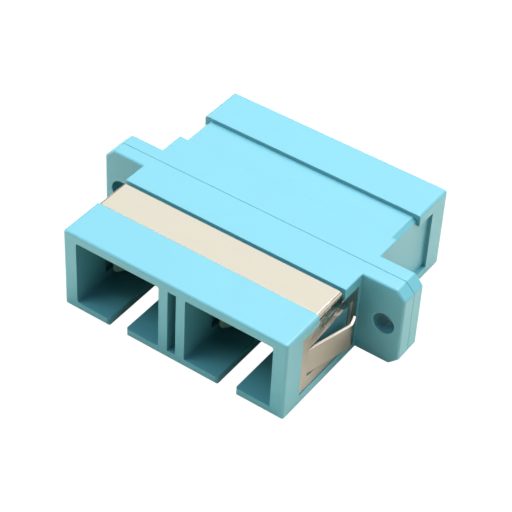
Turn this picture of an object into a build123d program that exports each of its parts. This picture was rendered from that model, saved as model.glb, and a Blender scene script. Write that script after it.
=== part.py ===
from build123d import *
import os

# SC duplex fibre adapter, in millimetres.
# The weld seam between the two housing halves is the plane y = 0, the underside is z = 0,
# x runs across the two channels, and the plug ports open towards -Y and +Y.

# Housing half, outside
port_pitch = 12.7
overall_length = 27.3
body_width = 25.4
body_height = 9.3
lip_length = 5.05
groove_length = 4.25
flange_half = 1.62
lip_edge_radius = 0.3
land_edge_radius = 0.15
bottom_edge_radius = 0.2
mouth_edge_radius = 0.25
shoulder_edge_radius = 0.06
seam_bevel = 0.05

# Flange ears
screw_spacing = 30.8
screw_hole_radius = 1.15
screw_hole_bevel = 0.05
ear_margin = 2.0
ear_chamfer = 1.0
ear_corner_radius = 0.4
ear_edge_radius = 0.25

# Groove over the top and recess down each side, for the spring clip
groove_depth = 0.4
recess_depth = 0.4
waist_chamfer = 0.4
recess_mouth_wall = 2.55
recess_root_wall = 0.35
recess_sill = 1.1
recess_ceiling_drop = 1.25

# Plug ports
port_width = 9.7
port_height = 7.45
port_floor = 0.9
port_corner_radius = 0.2
keyway_width = 2.07
keyway_length = 8.4
keyway_mouth_radius = 0.3
centre_pocket_width = 0.95
centre_pocket_depth = 9.5

# Inside the housing half
arm_pocket_depth = 0.5
arm_pocket_height = 6.05
arm_pocket_start = 4.35
seat_depth = 1.25

# Locating pegs and sockets on the weld face
peg_radius = 0.45
peg_height = 0.8
peg_clearance = 0.05
peg_offset = 12.85
peg_rise = 2.7

# Latch insert
insert_clearance = 0.1
insert_plate = 1.2
arm_thickness = 0.6
arm_gap = 7.0
arm_height = 4.9
arm_reach = 9.1
hook_depth = 0.3
hook_length = 0.9
hook_bevel = 0.2
arm_root_radius = 0.4
barrel_radius = 2.35
barrel_lip = 0.65
barrel_lip_radius = 1.45
barrel_nose_bevel = 0.3
barrel_root_radius = 0.4

# Split alignment sleeve
sleeve_length = 11.4
sleeve_bore_radius = 1.25
sleeve_wall = 0.35
sleeve_slit = 0.5
sleeve_clearance = 0.08
sleeve_end_play = 0.15

# Spring clip, folded from one strip of sheet
clip_sheet = 0.3
clip_seat_gap = 0.03
clip_side_gap = 0.05
clip_back_gap = 0.37
clip_bend_radius = 0.1
leg_end_gap = 0.08
leg_corner_radius = 0.15
window_front = 1.12
window_back = 0.9
window_back_slant = 0.15
window_sill = 1.35
window_height = 3.6
window_back_rise = 0.65
window_back_drop = 0.2

# Tongue lanced from the window, bent outwards, with a hooked end
tongue_run = 5.8
tongue_flare = 1.0
tongue_end = 0.65
tongue_end_return = 0.25
tongue_end_lean = 0.2
tongue_bend_radius = 0.6
tongue_root_gap = 0.1
tongue_root_drop = 0.5
tongue_end_height = 2.85
tongue_end_sill = 2.4
tongue_tip_rise = 0.3
tongue_tip_reach = 0.32
tongue_tip_width = 0.12

# Sizes that follow from the values above
half_length = overall_length / 2
half_width = body_width / 2
port_z = port_floor + port_height / 2
port_xs = (-port_pitch / 2, port_pitch / 2)
flange_width = screw_spacing + 2 * ear_margin
mid_height = body_height / 2
waist_half_width = half_width - recess_depth
waist_top = body_height - groove_depth
groove_front = -half_length + lip_length
groove_back = groove_front + groove_length
recess_front = -half_length + recess_mouth_wall
recess_back = -flange_half - recess_root_wall
recess_ceiling = body_height - recess_ceiling_drop
bore_radius = sleeve_bore_radius + sleeve_wall + sleeve_clearance
bore_depth = sleeve_length / 2 + sleeve_end_play
barrel_length = bore_depth + barrel_lip
clip_inner_x = waist_half_width + clip_seat_gap
leg_bottom = recess_sill + clip_side_gap
strap_end = recess_ceiling - clip_side_gap - leg_corner_radius
past = 1.0
same_place = 0.001


def along_y(profile, start, end):
    """Extrude a front-view profile, drawn with x across and y as height, from y = start to y = end."""
    plane = Plane(origin=(0, start, 0), x_dir=(1, 0, 0), z_dir=(0, -1, 0))
    return extrude(plane * profile, amount=start - end)


def along_z(profile, bottom, top):
    """Extrude a plan-view profile from z = bottom to z = top."""
    return extrude(Plane.XY.offset(bottom) * profile, amount=top - bottom)


def rect(x_low, x_high, y_low, y_high):
    """A rectangle between two corners."""
    return Pos((x_low + x_high) / 2, (y_low + y_high) / 2) * Rectangle(x_high - x_low, y_high - y_low)


def edges_on_plane(solid, y):
    """The edges of a solid that lie in the plane at y."""
    return solid.edges().filter_by_position(Axis.Y, y - same_place, y + same_place)


def body_section(upper_radius):
    """The outline of the body, with rounded edges along the top and the bottom."""
    section = Pos(0, mid_height) * Rectangle(body_width, body_height)
    section = fillet(section.vertices().group_by(Axis.Y)[-1], upper_radius)
    return fillet(section.vertices().group_by(Axis.Y)[0], bottom_edge_radius)


def body_block():
    """The body of one half, still solid: a lip with a rounded mouth edge, and a crisper land behind it."""
    lip = along_y(body_section(lip_edge_radius), groove_front, -half_length)
    lip = fillet(edges_on_plane(lip, -half_length), mouth_edge_radius)
    return lip + along_y(body_section(land_edge_radius), 0, groove_front)


def flange_plate():
    """Half of the flange: a plate with cut and softened corners, and a screw hole in each ear."""
    outline = Pos(0, mid_height) * Rectangle(flange_width, body_height)
    outline = chamfer(outline.vertices(), ear_chamfer)
    outline = fillet(outline.vertices(), ear_corner_radius)
    plate = along_y(outline, 0, -flange_half)
    plate = fillet(edges_on_plane(plate, -flange_half), ear_edge_radius)
    for side in (-1, 1):
        hole = Pos(side * screw_spacing / 2, mid_height) * Circle(screw_hole_radius)
        plate -= along_y(hole, past, -flange_half - past)
    hole_edges = edges_on_plane(plate, -flange_half).filter_by(GeomType.CIRCLE)
    return chamfer(hole_edges, screw_hole_bevel)


def clip_channel():
    """What is cut away for the clip: a groove over the top that runs into a recess in each side."""
    outside = rect(-half_width - past, half_width + past, recess_sill, body_height + past)
    waist = rect(-waist_half_width, waist_half_width, recess_sill, waist_top)
    upper = waist.vertices().group_by(Axis.Y)[-1]
    groove = along_y(outside - chamfer(upper, waist_chamfer), groove_back, groove_front)
    for side in (-1, 1):
        inner, outer = sorted((side * waist_half_width, side * (half_width + past)))
        recess = rect(inner, outer, recess_sill, recess_ceiling)
        groove += along_y(recess, recess_back, recess_front)
    return groove


def channel_cavity():
    """The hollow of one channel, about x = 0: the plug port, the arm pockets and the insert's seat."""
    port = Pos(0, port_z) * RectangleRounded(port_width, port_height, port_corner_radius)
    cavity = along_y(port, past, -half_length - past)
    seat_width = port_width + 2 * arm_pocket_depth
    pocket = Pos(0, port_z) * Rectangle(seat_width, arm_pocket_height)
    cavity += along_y(pocket, past, -half_length + arm_pocket_start)
    seat = Pos(0, port_z) * Rectangle(seat_width, port_height)
    return cavity + along_y(seat, past, -seat_depth)


def keyway():
    """The slot through the port's floor that takes the plug's key, about x = 0."""
    mouth = -half_length
    slot = rect(-keyway_width / 2, keyway_width / 2, mouth - past, mouth + keyway_length)
    flare = rect(-keyway_width / 2 - keyway_mouth_radius, keyway_width / 2 + keyway_mouth_radius,
                 mouth - past, mouth + keyway_mouth_radius)
    for side in (-1, 1):
        centre = Pos(side * (keyway_width / 2 + keyway_mouth_radius), mouth + keyway_mouth_radius)
        flare -= centre * Circle(keyway_mouth_radius)
    return along_z(slot + flare, -past, port_floor + port_corner_radius)


def housing_half():
    """One moulding. The other half is the same, turned half a turn about Z."""
    half = body_block() + flange_plate()
    half = chamfer(edges_on_plane(half, 0), seam_bevel) - clip_channel()
    shoulder_edges = edges_on_plane(half, groove_front) + edges_on_plane(half, groove_back)
    top_edges = [edge for edge in shoulder_edges if edge.center().Z > body_height - shoulder_edge_radius]
    half = fillet(top_edges, shoulder_edge_radius)
    for x in port_xs:
        half -= Pos(x, 0, 0) * (channel_cavity() + keyway())
    pocket = Pos(0, port_z) * Rectangle(centre_pocket_width, port_height)
    half -= along_y(pocket, -half_length + centre_pocket_depth, -half_length - past)
    for z in (mid_height - peg_rise, mid_height + peg_rise):
        peg = Pos(peg_offset, z) * Circle(peg_radius)
        socket = Pos(-peg_offset, z) * Circle(peg_radius + peg_clearance)
        half += along_y(peg, peg_height, -flange_half / 2)
        half -= along_y(socket, past, -peg_height - peg_clearance)
    return half


def latch_arm():
    """The springy arm on the +X side, with a hook that catches the plug."""
    inner = arm_gap / 2
    outer = inner + arm_thickness
    tip = -arm_reach
    catch = tip + hook_length
    outline = Polyline((outer, -insert_plate / 2), (outer, tip), (inner + hook_bevel, tip),
                       (inner - hook_depth, catch - hook_bevel), (inner - hook_depth, catch),
                       (inner, catch + hook_bevel), (inner, -insert_plate / 2), close=True)
    plan = make_face(outline)
    return along_z(plan, port_z - arm_height / 2, port_z + arm_height / 2)


def latch_insert():
    """The insert about x = 0: a plate, a barrel that holds the sleeve, and two latch arms."""
    plate_width = port_width + 2 * arm_pocket_depth - 2 * insert_clearance
    plate_height = port_height - 2 * insert_clearance
    plate = Pos(0, port_z) * Rectangle(plate_width, plate_height)
    insert = along_y(plate, 0, -insert_plate)
    insert += latch_arm() + mirror(latch_arm(), Plane.YZ)
    roots = edges_on_plane(insert, -insert_plate).filter_by(Axis.Z)
    roots = [edge for edge in roots if abs(edge.center().X) < plate_width / 2 - same_place]
    insert = fillet(roots, arm_root_radius)
    barrel = along_y(Pos(0, port_z) * Circle(barrel_radius), 0, -barrel_length)
    barrel = chamfer(edges_on_plane(barrel, -barrel_length), barrel_nose_bevel)
    insert += barrel
    barrel_root = edges_on_plane(insert, -insert_plate).filter_by(GeomType.CIRCLE)
    insert = fillet(barrel_root, barrel_root_radius)
    insert -= along_y(Pos(0, port_z) * Circle(bore_radius), past, -bore_depth)
    return insert - along_y(Pos(0, port_z) * Circle(barrel_lip_radius), 0, -barrel_length - past)


def split_sleeve():
    """A slit ceramic tube about x = 0 that lines up the two ferrules."""
    ring = Circle(sleeve_bore_radius + sleeve_wall) - Circle(sleeve_bore_radius)
    ring -= rect(-sleeve_slit / 2, sleeve_slit / 2, 0, sleeve_bore_radius + sleeve_wall + past)
    return along_y(Pos(0, port_z) * ring, sleeve_length / 2, -sleeve_length / 2)


def leg_side():
    """The +X leg of the clip: a plate with a window, and the tongue that was lanced out of it."""
    side_plane = Plane(origin=(clip_inner_x, 0, 0), x_dir=(0, 1, 0), z_dir=(1, 0, 0))
    leg_front = recess_front + leg_end_gap
    leg_back = recess_back - leg_end_gap
    outline = rect(leg_front, leg_back, leg_bottom, recess_ceiling - clip_side_gap)
    outline = fillet(outline.vertices(), leg_corner_radius)
    front = leg_front + window_front
    back = leg_back - window_back
    low = leg_bottom + window_sill
    high = low + window_height
    window = make_face(Polyline((front, low), (back - window_back_slant, low - window_back_drop),
                                (back + window_back_slant, high + window_back_rise), (front, high),
                                close=True))
    plate = extrude(side_plane * (outline - window), amount=clip_sheet)

    bend = front + tongue_run
    end = bend + tongue_end
    tip = end + tongue_tip_reach
    end_high = tongue_end_sill + tongue_end_height
    middle_x = clip_inner_x + clip_sheet / 2
    root = front - window_front / 2
    centre_line = FilletPolyline((middle_x, root), (middle_x, front), (middle_x + tongue_flare, bend),
                                 (middle_x + tongue_flare - tongue_end_return, tip),
                                 radius=tongue_bend_radius)
    sheet = along_z(trace(centre_line, clip_sheet), leg_bottom, recess_ceiling)
    tip_high = end_high + tongue_tip_rise
    blank = make_face(Polyline((root, low + tongue_root_drop), (root, high - tongue_root_gap),
                               (front, high - tongue_root_gap), (bend, end_high),
                               (tip - tongue_tip_width, tip_high), (tip, tip_high - tongue_tip_width),
                               (end + tongue_end_lean, end_high), (end, tongue_end_sill),
                               (bend, tongue_end_sill),
                               (front, low + tongue_root_drop), close=True))
    return plate + (sheet & extrude(side_plane * blank, amount=clip_sheet + 2 * tongue_flare))


def spring_clip():
    """The strap over the top with a leg down each side."""
    outer_x = clip_inner_x + clip_sheet
    inner_top = waist_top + clip_seat_gap
    outer = rect(-outer_x, outer_x, strap_end, inner_top + clip_sheet)
    inner = rect(-clip_inner_x, clip_inner_x, strap_end - past, inner_top)
    outer = fillet(outer.vertices().group_by(Axis.Y)[-1], clip_bend_radius + clip_sheet)
    inner = fillet(inner.vertices().group_by(Axis.Y)[-1], clip_bend_radius)
    strap = along_y(outer - inner, groove_back - clip_back_gap, groove_front + clip_side_gap)
    side = leg_side()
    return strap + side + mirror(side, Plane.YZ)


def write(node, solid):
    """Write one node to its own file."""
    export_step(solid, os.path.join("parts", node + ".step"))


os.makedirs("parts", exist_ok=True)
turned = Rot(0, 0, 180)

housing = housing_half()
write("front_housing", housing)
write("rear_housing", turned * housing)
write("spring_clip", spring_clip())

insert = latch_insert()
sleeve = split_sleeve()
for name, x in zip(("left", "right"), port_xs):
    write("latch_insert_front_" + name, Pos(x, 0, 0) * insert)
    write("latch_insert_rear_" + name, Pos(x, 0, 0) * (turned * insert))
    write("split_sleeve_" + name, Pos(x, 0, 0) * sleeve)
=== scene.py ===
# %% [markdown]
# A duplex fibre adapter: two aqua housing halves welded back to back, with a folded spring clip over one
# of them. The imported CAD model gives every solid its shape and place, in metres. This lesson adds what CAD
# leaves out: the finish of each material, the sheared edges of the sheet metal, and a small product studio.

import math

import bmesh
import bpy
from mathutils import Matrix, Vector
from mathutils.bvhtree import BVHTree


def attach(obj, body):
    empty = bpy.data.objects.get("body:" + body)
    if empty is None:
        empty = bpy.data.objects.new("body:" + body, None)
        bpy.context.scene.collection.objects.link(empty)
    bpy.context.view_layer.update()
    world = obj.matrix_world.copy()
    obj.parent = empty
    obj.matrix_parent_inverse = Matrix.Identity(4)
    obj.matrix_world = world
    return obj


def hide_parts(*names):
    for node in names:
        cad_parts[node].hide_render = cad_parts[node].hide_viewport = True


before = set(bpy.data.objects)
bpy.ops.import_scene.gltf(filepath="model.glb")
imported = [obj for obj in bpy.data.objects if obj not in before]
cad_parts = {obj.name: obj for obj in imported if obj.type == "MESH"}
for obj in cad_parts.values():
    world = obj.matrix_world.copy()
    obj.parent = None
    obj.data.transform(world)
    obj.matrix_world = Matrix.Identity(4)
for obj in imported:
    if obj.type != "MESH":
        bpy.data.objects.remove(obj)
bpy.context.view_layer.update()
mm = 0.001
print("CAD nodes:", sorted(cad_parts))

# %% [markdown]
# The photograph was taken from above and to one side with a long lens, so parallel edges hardly converge.
# A camera can be placed by eye, or worked out from corners whose real distances are known. These numbers
# were worked out from such corners. The camera leans a little, which is its roll, and
# the lens's centre came out a few pixels off the middle of the picture, which is its shift.

# %% Camera
view_azimuth, view_elevation, view_roll = math.radians(33.23), math.radians(41.45), math.radians(3.18)
view_target = Vector((0, -0.6, 4.8)) * mm
view_distance = 173.4 * mm
focal_pixels, frame_pixels = 1803.1, 512
lens_centre = (253.58, 248.23)

back = Vector((math.sin(view_azimuth) * math.cos(view_elevation),
               -math.cos(view_azimuth) * math.cos(view_elevation), math.sin(view_elevation)))
level_right = (-back).cross(Vector((0, 0, 1))).normalized()
level_up = level_right.cross(-back)
right = level_right * math.cos(view_roll) + level_up * math.sin(view_roll)
up = level_up * math.cos(view_roll) - level_right * math.sin(view_roll)

camera_data = bpy.data.cameras.new("camera")
camera_data.sensor_width = 36
camera_data.lens = focal_pixels / frame_pixels * camera_data.sensor_width
camera_data.shift_x = (frame_pixels / 2 - lens_centre[0]) / frame_pixels
camera_data.shift_y = (lens_centre[1] - frame_pixels / 2) / frame_pixels
camera_data.clip_start = 0.01
camera = bpy.data.objects.new("camera", camera_data)
camera.matrix_world = Matrix.Translation(view_target + back * view_distance) @ Matrix(
    (right, up, back)).transposed().to_4x4()
bpy.context.scene.collection.objects.link(camera)
bpy.context.scene.camera = camera
print("lens in mm:", round(camera_data.lens, 1), "distance in mm:", round(view_distance / mm, 1))

# %% [markdown]
# Materials are networks of nodes. They can be clicked together in the shader editor, but a script reads
# better with a few small helpers: one that opens a node group with named sockets, one that adds a node and
# fills or links its inputs by name, one for a sum or product, and one for a value that varies with a noise.

# %% Helpers for node groups
FLOAT, COLOR, VECTOR = "NodeSocketFloat", "NodeSocketColor", "NodeSocketVector"


def new_group(name, inputs, outputs):
    """A shader node group with named sockets. Each input is (name, kind, default)."""
    group = bpy.data.node_groups.new(name, "ShaderNodeTree")
    for label, kind, default in inputs:
        socket = group.interface.new_socket(label, in_out="INPUT", socket_type=kind)
        if default is not None:
            socket.default_value = default
    for label, kind in outputs:
        group.interface.new_socket(label, in_out="OUTPUT", socket_type=kind)
    return group, group.nodes.new("NodeGroupInput").outputs, group.nodes.new("NodeGroupOutput").inputs


def add(tree, kind, links=None, **settings):
    """Add a node, set its properties, and link or fill its inputs."""
    node = tree.nodes.new("ShaderNode" + kind)
    for key, value in settings.items():
        setattr(node, key, value)
    for key, value in (links or {}).items():
        if isinstance(value, bpy.types.NodeSocket):
            tree.links.new(value, node.inputs[key])
        else:
            node.inputs[key].default_value = value
    return node


def math_node(tree, operation, a, b=0.0, c=0.0):
    """A Math node's result."""
    return add(tree, "Math", {0: a, 1: b, 2: c}, operation=operation).outputs[0]


def varied(tree, value, fac, change):
    """A value that drifts up and down with a noise that runs from 0 to 1."""
    return math_node(tree, "MULTIPLY_ADD", math_node(tree, "SUBTRACT", fac, 0.5), change, value)


# %% [markdown]
# A moulding comes out of its tool with a skin of very fine grain, and the melt leaves it a little uneven in
# colour and gloss where it flowed. An image could give both, but it would have to be unwrapped onto the
# part. Noise read in Object coordinates needs no unwrapping and keeps its real size. The housings, the
# latch inserts and the ceramic sleeves all need such a skin, so it is one node group with its own values in
# each material. The sizes on a group's sockets are in millimetres.

# %% Moulded skin
skin, skin_in, skin_out = new_group(
    "moulded_skin",
    [("Vector", VECTOR, None), ("Color", COLOR, (1, 1, 1, 1)), ("Grain size", FLOAT, 0.12),
     ("Tint change", FLOAT, 0.06), ("Roughness", FLOAT, 0.4), ("Roughness change", FLOAT, 0.1)],
    [("Color", COLOR), ("Roughness", FLOAT), ("Height", FLOAT)])
per_metre = math_node(skin, "DIVIDE", 1 / mm, skin_in["Grain size"])
grain = add(skin, "TexNoise", {"Vector": skin_in["Vector"], "Scale": per_metre, "Detail": 3.0,
                               "Roughness": 0.6})
flow_marks_per_mm = 0.18
flow = add(skin, "TexNoise", {"Vector": skin_in["Vector"], "Scale": flow_marks_per_mm / mm, "Detail": 2.0,
                              "Distortion": 0.6})
shade = varied(skin, 1.0, flow.outputs["Fac"], skin_in["Tint change"])
tinted = add(skin, "VectorMath", {0: skin_in["Color"], 1: shade}, operation="MULTIPLY")
skin.links.new(tinted.outputs[0], skin_out["Color"])
skin.links.new(varied(skin, skin_in["Roughness"], flow.outputs["Fac"], skin_in["Roughness change"]),
               skin_out["Roughness"])
skin.links.new(grain.outputs["Fac"], skin_out["Height"])
print("group:", skin.name, [socket.name for socket in skin.interface.items_tree])

# %% [markdown]
# Spring strip is cold rolled: the rolls draw out fine streaks along its length, which is across the top of
# the adapter and down its sides. Each face could have a pattern of its own, turned to suit it. But across
# the strip is Y on all three, so one noise squeezed along Y streaks them all.

# %% Rolled strip
rolled, rolled_in, rolled_out = new_group(
    "rolled_strip",
    [("Vector", VECTOR, None), ("Color", COLOR, (1, 1, 1, 1)), ("Roughness", FLOAT, 0.2),
     ("Streak contrast", FLOAT, 0.1), ("Streak depth", FLOAT, 0.0003), ("Wave size", FLOAT, 0.9),
     ("Wave depth", FLOAT, 0.055)],
    [("Color", COLOR), ("Roughness", FLOAT), ("Height", FLOAT)])
streaks_across, streaks_along, patches_per_mm = 14, 0.25, 0.35
squeezed = add(rolled, "Mapping", {"Vector": rolled_in["Vector"],
                                   "Scale": (streaks_along, streaks_across, streaks_along)}).outputs[0]
streaks = add(rolled, "TexNoise", {"Vector": squeezed, "Scale": 1 / mm, "Detail": 4.0, "Roughness": 0.65})
patches = add(rolled, "TexNoise", {"Vector": rolled_in["Vector"], "Scale": patches_per_mm / mm,
                                   "Detail": 1.0})
streaked = varied(rolled, 1.0, streaks.outputs["Fac"], rolled_in["Streak contrast"])
rolled_color = add(rolled, "VectorMath", {0: rolled_in["Color"], 1: streaked}, operation="MULTIPLY")
rolled.links.new(rolled_color.outputs[0], rolled_out["Color"])
patched = varied(rolled, rolled_in["Roughness"], patches.outputs["Fac"], rolled_in["Streak contrast"])
rolled.links.new(patched, rolled_out["Roughness"])

# %% [markdown]
# Where the sheet was folded it is never quite flat again, and there its reflections wander. That shows most
# on a bright metal, so the same group also raises soft waves on the legs, close under the folds. They could
# be dents in the mesh, but that takes many small faces for a few hundredths of a millimetre. So they are
# bump, with a mask made from the height and from the distance to the middle.

# %% Waves under the folds
legs_start, legs_full = 12.5 * mm, 12.6 * mm
waves_start, waves_full = 5.5 * mm, 7.5 * mm
place = add(rolled, "SeparateXYZ", {0: rolled_in["Vector"]}).outputs
on_leg = add(rolled, "MapRange", {"Value": math_node(rolled, "ABSOLUTE", place["X"]),
                                  "From Min": legs_start, "From Max": legs_full}).outputs[0]
high_up = add(rolled, "MapRange", {"Value": place["Z"], "From Min": waves_start,
                                   "From Max": waves_full}).outputs[0]
wave_scale = math_node(rolled, "DIVIDE", 1 / mm, rolled_in["Wave size"])
waves = add(rolled, "TexNoise", {"Vector": rolled_in["Vector"], "Scale": wave_scale, "Detail": 1.0,
                                 "Distortion": 0.8}).outputs["Fac"]
wave_height = math_node(rolled, "MULTIPLY", math_node(rolled, "MULTIPLY", on_leg, high_up),
                        math_node(rolled, "MULTIPLY", waves, rolled_in["Wave depth"]))
rolled.links.new(math_node(rolled, "MULTIPLY_ADD", streaks.outputs["Fac"], rolled_in["Streak depth"],
                           wave_height), rolled_out["Height"])
print("group:", rolled.name, [socket.name for socket in rolled.interface.items_tree])

# %% [markdown]
# The object's materials all have the same frame: a shader, the object's own coordinates, and a group that
# turns them into a colour, a roughness and a height. It could be built anew for each, but then the same
# lines would come again and again, so one helper makes the frame and another adds the bump. What is the
# same all over a piece, such as being metal, is set on the shader itself.

# %% Material helpers
def new_material(name, group=None, **values):
    """A material: a Principled shader, and a group that reads Object coordinates and feeds it."""
    material = bpy.data.materials.new(name)
    material.use_nodes = True
    tree = material.node_tree
    tree.nodes.clear()
    shader = add(tree, "BsdfPrincipled")
    add(tree, "OutputMaterial", {"Surface": shader.outputs[0]})
    if group is None:
        return material, tree, shader, None
    look = add(tree, "Group", node_tree=group)
    tree.links.new(add(tree, "TexCoord").outputs["Object"], look.inputs["Vector"])
    for label, value in values.items():
        look.inputs[label.replace("_", " ")].default_value = value
    tree.links.new(look.outputs["Color"], shader.inputs["Base Color"])
    tree.links.new(look.outputs["Roughness"], shader.inputs["Roughness"])
    return material, tree, shader, look


def add_bump(tree, shader, look, **links):
    """A Bump node from the group's height to the shader's normal."""
    bump = add(tree, "Bump", {"Height": look.outputs["Height"], **links})
    tree.links.new(bump.outputs[0], shader.inputs["Normal"])


# %% [markdown]
# The housings are a satin engineering plastic, coloured right through. Their corners were never knife
# sharp, because cutters made the mould. The larger rounds are real faces of the model. The last few
# hundredths of a millimetre on every other corner come from a Bevel node, which turns the normal there so
# that each corner catches a thread of light, and costs no faces.

# %% Aqua plastic
corner_round, grain_depth, grain_strength = 0.05 * mm, 0.01 * mm, 0.15
aqua, tree, shader, look = new_material("aqua_plastic_satin", skin, Color=(0.094, 0.315, 0.358, 1))
shader.inputs["Specular IOR Level"].default_value = 0.7
corner = add(tree, "Bevel", {"Radius": corner_round}, samples=4)
add_bump(tree, shader, look, Strength=grain_strength, Distance=grain_depth, Normal=corner.outputs[0])
print("material:", aqua.name, "corner round in mm:", corner_round / mm)

# %% [markdown]
# The latch inserts are a separate moulding in another plastic, and their arms have to flex for years. They
# sit in the dark of the ports, where they show as a dim grey green. Their colour is painted shade: a true
# ivory would be much lighter, so it is darkened to match, with a painted green cast of the light from the
# aqua walls. The skin is the same group with other values.

# %% Ivory plastic with painted shade
# The colour is painted shade: ivory darkened, with a painted green cast of the light from the aqua walls.
latch_plastic_painted_shade, tree, shader, look = new_material("ivory_plastic_painted_shade", skin, Color=(0.16, 0.26, 0.21, 1),
                                         Roughness=0.45)
add_bump(tree, shader, look, Strength=grain_strength, Distance=grain_depth)
print("material:", latch_plastic_painted_shade.name)

# %% [markdown]
# The sleeves are zirconia, ground and polished until a ferrule slides in them. They need no bump, only a
# slight cloudiness and a low roughness, so the group's height stays unused.

# %% Zirconia
zirconia = new_material("zirconia_polished", skin, Color=(0.86, 0.86, 0.83, 1), Roughness=0.15,
                        Roughness_change=0.04)[0]
print("material:", zirconia.name)

# %% [markdown]
# The clip is one metal with two finishes. Its wide faces keep the smooth skin that the rolls gave them. Its
# narrow faces were sheared by the press tool, which tears the metal, so they are rough and scatter light.
# Their colour is also made about twice as light as the rolled faces', a painted highlight along the cut
# edges.

# %% Spring steel, rolled and sheared
steel, tree, shader, look = new_material("spring_steel_rolled", rolled, Color=(0.306, 0.296, 0.256, 1))
shader.inputs["Metallic"].default_value = 1
add_bump(tree, shader, look, Distance=mm)

# The sheared colour is about twice as light as the rolled one: a painted highlight on the cut edges, besides
# their real roughness.
sheared, tree, shader, look = new_material("spring_steel_sheared_painted_highlight", rolled, Color=(0.62, 0.58, 0.5, 1),
                                           Roughness=0.5, Streak_contrast=0.3, Streak_depth=0.004)
shader.inputs["Metallic"].default_value = 1
add_bump(tree, shader, look, Distance=mm)
print("materials:", steel.name, sheared.name)

# %% [markdown]
# To give the clip its two finishes, its faces have to be told apart. They could be picked by hand, but
# there is a rule that finds them: from the middle of a rolled face, straight in, the metal is only as thick
# as the sheet, and from a sheared face it is much thicker. So a ray is sent inwards from each triangle of a
# copy, whose loose triangles are merged first. The CAD node stays as it is and the copy stands for it.

# %% The clip with its faces sorted
sheet_thickness = 0.3 * mm
much_thicker, just_inside = 1.5 * sheet_thickness, 0.01 * sheet_thickness
merge_distance = 0.0005 * mm

bm = bmesh.new()
bm.from_mesh(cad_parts["spring_clip"].data)
bmesh.ops.remove_doubles(bm, verts=bm.verts, dist=merge_distance)
metal = BVHTree.FromBMesh(bm)
for face in bm.faces:
    start = face.calc_center_median() - face.normal * just_inside
    through = metal.ray_cast(start, -face.normal)[3]
    face.material_index = int(through is not None and through > much_thicker)
print("sheared triangles:", sum(face.material_index for face in bm.faces), "of", len(bm.faces))

# %% [markdown]
# The corners between rolled and sheared faces are rounded, as tumbling in a drum of stones does after the
# press. A Bevel modifier would have to be told which edges those are. Here the sorting has found them
# already, so a bmesh bevel takes exactly those. The triangles of each flat face are joined first, so that
# no diagonal runs into a corner.

# %% Sheared corners rounded
edge_round = 0.045 * mm
flat_within, corner_above = math.radians(0.5), math.radians(50)
bmesh.ops.dissolve_limit(bm, angle_limit=flat_within, verts=bm.verts, edges=bm.edges, delimit={"MATERIAL"})
corners = [edge for edge in bm.edges if len(edge.link_faces) == 2
           and edge.link_faces[0].material_index != edge.link_faces[1].material_index
           and edge.calc_face_angle() > corner_above]
bmesh.ops.bevel(bm, geom=corners, offset=edge_round, offset_type="OFFSET", segments=2, profile=0.5,
                affect="EDGES", material=-1, clamp_overlap=False)
bmesh.ops.recalc_face_normals(bm, faces=bm.faces)
for face in bm.faces:
    face.smooth = True
print("sheared corners:", len(corners), "faces:", len(bm.faces))

# %% The clip in its place
clip_mesh = bpy.data.meshes.new("folded_clip")
bm.to_mesh(clip_mesh)
bm.free()
clip = bpy.data.objects.new("folded_clip", clip_mesh)
bpy.context.scene.collection.objects.link(clip)
clip_mesh.materials.append(steel)
clip_mesh.materials.append(sheared)
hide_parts("spring_clip")
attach(clip, "root")
print("piece:", clip.name, "with", len(clip_mesh.polygons), "faces")

# %% [markdown]
# Smooth shading blends the directions of all the faces round a vertex, so the tiny bevels would bend the
# look of the wide flat faces beside them. A Weighted Normal modifier mends that on large objects, but where
# the faces round a vertex come to under a square millimetre, it falls back to the plain blend. So the same
# sum is done here: each corner takes the mean direction of the faces it meets smoothly, weighted by area.

# %% Flat faces stay flat
smooth_limit = math.cos(math.radians(60))
faces_round = [[] for vertex in clip_mesh.vertices]
for face in clip_mesh.polygons:
    for vertex in face.vertices:
        faces_round[vertex].append(face)
corner_normals = []
for face in clip_mesh.polygons:
    for vertex in face.vertices:
        blended = [other for other in faces_round[vertex]
                   if other.normal.dot(face.normal) > smooth_limit]
        weighted = sum((other.normal * other.area for other in blended), Vector())
        corner_normals.append(weighted.normalized())
clip_mesh.normals_split_custom_set(corner_normals)
print("corner normals set:", len(corner_normals))

# %% [markdown]
# The other nodes keep their own meshes and only get a finish in their material slots.

# %% Give each CAD node its finish
# The latch finish has painted shade in its colour.
finishes = {"housing": aqua, "latch": latch_plastic_painted_shade, "sleeve": zirconia, "clip": steel}
for name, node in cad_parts.items():
    finish = next(finish for word, finish in finishes.items() if word in name)
    for slot in node.material_slots:
        slot.material = finish
    print(name, "->", finish.name)

# %% [markdown]
# The picture is a cut-out on white. A floor that is bright enough to be pure white would also light the
# object from below far too strongly. So the floor is a plain warm diffuse one for everything but the camera,
# and mostly an even white for the camera itself, with a little of the real shadow left in.

# %% Floor
floor_half_width = 1.5
page_white, even_white_share = 1.05, 0.97
bm = bmesh.new()
bmesh.ops.create_grid(bm, x_segments=1, y_segments=1, size=floor_half_width)
floor_mesh = bpy.data.meshes.new("floor")
bm.to_mesh(floor_mesh)
bm.free()
floor = bpy.data.objects.new("floor", floor_mesh)
bpy.context.scene.collection.objects.link(floor)
floor_material, tree, shader = new_material("floor_white")[:3]
shader.inputs["Base Color"].default_value = (0.85, 0.81, 0.66, 1)
shader.inputs["Roughness"].default_value = 0.9
glow = add(tree, "Emission", {"Color": (1, 1, 1, 1), "Strength": page_white})
seen = add(tree, "LightPath").outputs["Is Camera Ray"]
mixed = add(tree, "MixShader", {0: math_node(tree, "MULTIPLY", seen, even_white_share),
                                1: shader.outputs[0], 2: glow.outputs[0]})
tree.links.new(mixed.outputs[0], tree.nodes["Material Output"].inputs["Surface"])
floor_mesh.materials.append(floor_material)
print("floor:", 2 * floor_half_width, "m wide")

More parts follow.
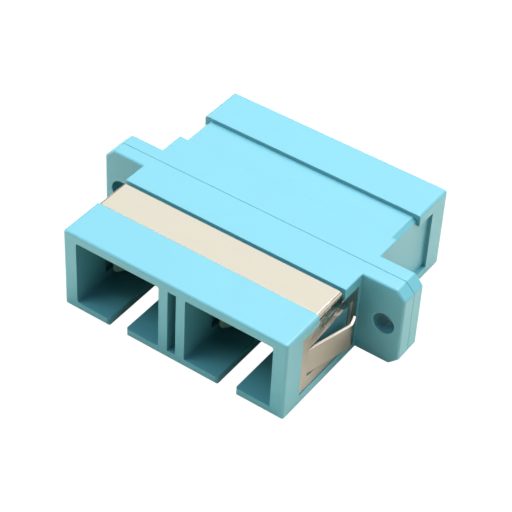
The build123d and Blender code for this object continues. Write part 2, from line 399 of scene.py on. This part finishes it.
# %% [markdown]
# The light in the photograph is soft: the top is the brightest, the faces towards us are dimmer, and the
# ports fall off into the dark. A softbox is placed by its direction from the object and given the brightness
# that a camera would see on it, because that is what a glossy face mirrors. The first shares were found by
# rendering each light alone and comparing the faces it lights with those of the photograph, and they were
# then corrected with all of them on. The strongest stands high and behind, where it shines on the top but
# not into the front ports.

# %% Softbox helper
def softbox(name, azimuth, elevation, distance, width, height, radiance, colour=(1, 1, 1)):
    """A soft panel that faces the object from a direction. A radiance of 1 is a white page."""
    azimuth, elevation = math.radians(azimuth), math.radians(elevation)
    towards = Vector((math.sin(azimuth) * math.cos(elevation), -math.cos(azimuth) * math.cos(elevation),
                      math.sin(elevation)))
    data = bpy.data.lights.new(name, "AREA")
    data.shape = "RECTANGLE"
    data.size, data.size_y, data.color = width, height, colour
    data.energy = radiance * math.pi * width * height
    light = bpy.data.objects.new(name, data)
    light.location = view_target + towards * distance
    light.rotation_mode = "QUATERNION"
    light.rotation_quaternion = towards.to_track_quat("Z", "Y")
    bpy.context.scene.collection.objects.link(light)
    print("light:", name, "power in W:", round(data.energy, 2))


# %% Lights round the object
softbox("top_box", 0, 86, 0.45, 0.42, 0.42, 2.35, (0.84, 0.82, 1))
softbox("top_rear_box", 165, 68, 0.45, 0.2, 0.2, 18, (1, 0.92, 1))
softbox("back_card", 213, 41, 0.6, 0.45, 0.45, 2.2)
softbox("right_back_box", 115, 42, 0.6, 0.6, 0.6, 1.65)
softbox("right_card", 85, 18, 0.6, 0.5, 0.25, 1.3, (0.65, 0.88, 1))
softbox("left_card", -60, 15, 0.6, 0.5, 0.3, 4.1, (0.97, 0.98, 1))
softbox("front_glint", -45, 52, 0.6, 0.25, 0.25, 5)
softbox("front_card", 15, 8, 0.6, 0.5, 0.15, 1.2, (0.97, 0.98, 1))

# %% [markdown]
# Bright metal shows whatever stands round it, and from behind the strap would mirror the black of an empty
# studio. A real room is never that dark. So the world glows dimly and warmly, but only for reflections: as
# light, the same glow would fill the ports, which are nearly black in the photograph. The Standard view
# leaves out the film-like curve of Blender's default view, and a gamma under 1 darkens the middle tones.

# %% Room seen in reflections
room_glow = 0.5
world = bpy.data.worlds.new("studio")
bpy.context.scene.world = world
world.use_nodes = True
background = world.node_tree.nodes["Background"]
background.inputs["Color"].default_value = (1, 0.95, 0.86, 1)
mirrored = add(world.node_tree, "LightPath").outputs["Is Glossy Ray"]
world.node_tree.links.new(math_node(world.node_tree, "MULTIPLY", mirrored, room_glow),
                          background.inputs["Strength"])
bpy.context.scene.view_settings.view_transform = "Standard"
bpy.context.scene.view_settings.gamma = 0.88
print("room glow:", room_glow)
